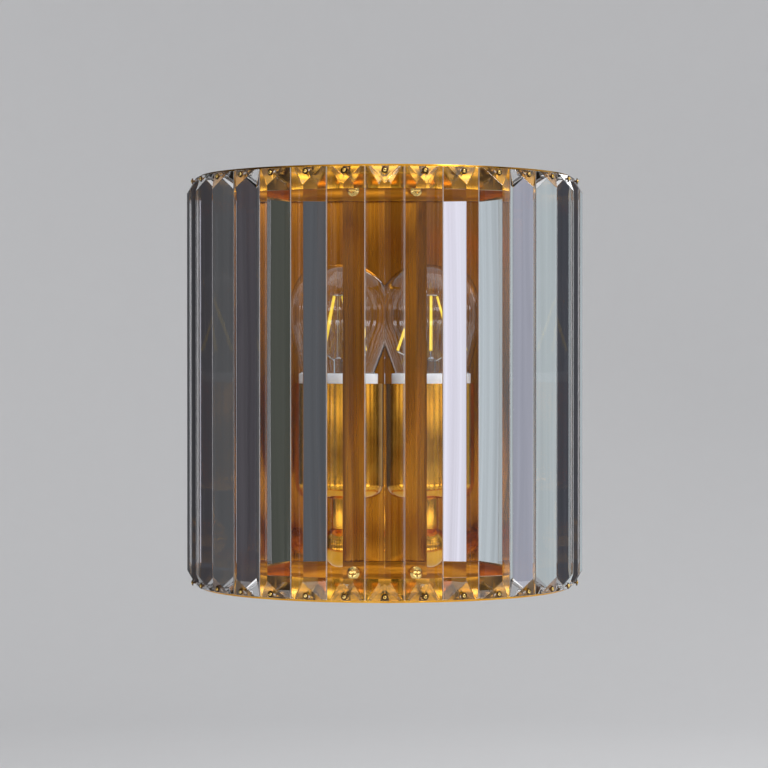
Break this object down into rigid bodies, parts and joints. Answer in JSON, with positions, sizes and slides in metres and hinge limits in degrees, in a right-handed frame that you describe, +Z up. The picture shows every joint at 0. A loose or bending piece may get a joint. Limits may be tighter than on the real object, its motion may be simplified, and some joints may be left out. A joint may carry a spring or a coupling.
{
  "type": "crystal wall sconce",
  "caption": "Half-round wall light of upright glass prisms pinned to two brass bands, with a bulb on an arm from a brushed back plate.",
  "frame": {"origin": "centre of the wall bracket's back face, on the wall", "axes": "+Y into the wall, +X to the right seen from the room, +Z up"},
  "size_m": [0.237, 0.1408, 0.2484],
  "materials": {
    "polished_brass": "polished, lacquered",
    "brushed_brass": "brushed up and down, lacquered",
    "small_brass": "polished",
    "zinc_steel": "zinc plated",
    "tinned_copper": "tinned",
    "crystal": "clear cut crystal, polished",
    "bulb_glass": "clear blown glass",
    "white_porcelain": "white glaze",
    "screw_shell": "drawn sheet",
    "black_insulator": "black glass",
    "filament": "yellow phosphor",
    "white_nylon": "moulded",
    "brown_lead": "insulated lead",
    "blue_lead": "insulated lead",
    "green_lead": "insulated lead, green with yellow"
  },
  "bodies": {
    "lamp": {"upper_ring": "polished_brass", "lower_ring": "polished_brass", "arm": "polished_brass", "arm_ball": "polished_brass", "neck_tube": "polished_brass", "holder_cup": "polished_brass", "back_plate": "brushed_brass", "upper_pins": "small_brass", "lower_pins": "small_brass", "upper_ring_screws": "small_brass", "lower_ring_screws": "small_brass", "holder_terminals": "small_brass", "arm_nipple": "small_brass", "cup_nut": "small_brass", "arm_nut": "small_brass", "wall_bracket": "zinc_steel", "bracket_screws": "zinc_steel", "ring_nuts": "zinc_steel", "arm_washer": "zinc_steel", "terminal_screws": "zinc_steel", "block_screw": "zinc_steel", "earth_screw": "zinc_steel", "earth_lug": "tinned_copper", "lampholder_contact": "tinned_copper", "crystal_01": "crystal", "crystal_02": "crystal", "crystal_03": "crystal", "crystal_04": "crystal", "crystal_05": "crystal", "crystal_06": "crystal", "crystal_07": "crystal", "crystal_08": "crystal", "crystal_09": "crystal", "crystal_10": "crystal", "crystal_11": "crystal", "crystal_12": "crystal", "crystal_13": "crystal", "crystal_14": "crystal", "crystal_15": "crystal", "lampholder_body": "white_porcelain", "lampholder_base": "white_porcelain", "lampholder_shell": "screw_shell", "terminal_block": "white_nylon", "live_wire": "brown_lead", "neutral_wire": "blue_lead", "earth_wire": "green_lead"},
    "bulb_end": {"bulb_contact": "tinned_copper"},
    "bulb": {"bulb_glass": "bulb_glass", "bulb_cap": "screw_shell", "bulb_insulator": "black_insulator", "bulb_stem": "bulb_glass", "bulb_filaments": "filament", "filament_wires": "tinned_copper"}
  },
  "joints": [
    {"name": "bulb_rise", "type": "slide", "parent": "lamp", "child": "bulb_end", "axis": [0, 0, 1], "range_m": [0, 0.01811]},
    {"name": "bulb_unscrew", "type": "hinge", "parent": "bulb_end", "child": "bulb", "pos_m": [0, -0.0685, 0], "axis": [0, 0, 1], "range_deg": [0, 1800]}
  ],
  "couplings": [
    {"joint": "bulb_rise", "follows": "bulb_unscrew", "m_per_rad": 0.00057614}
  ]
}
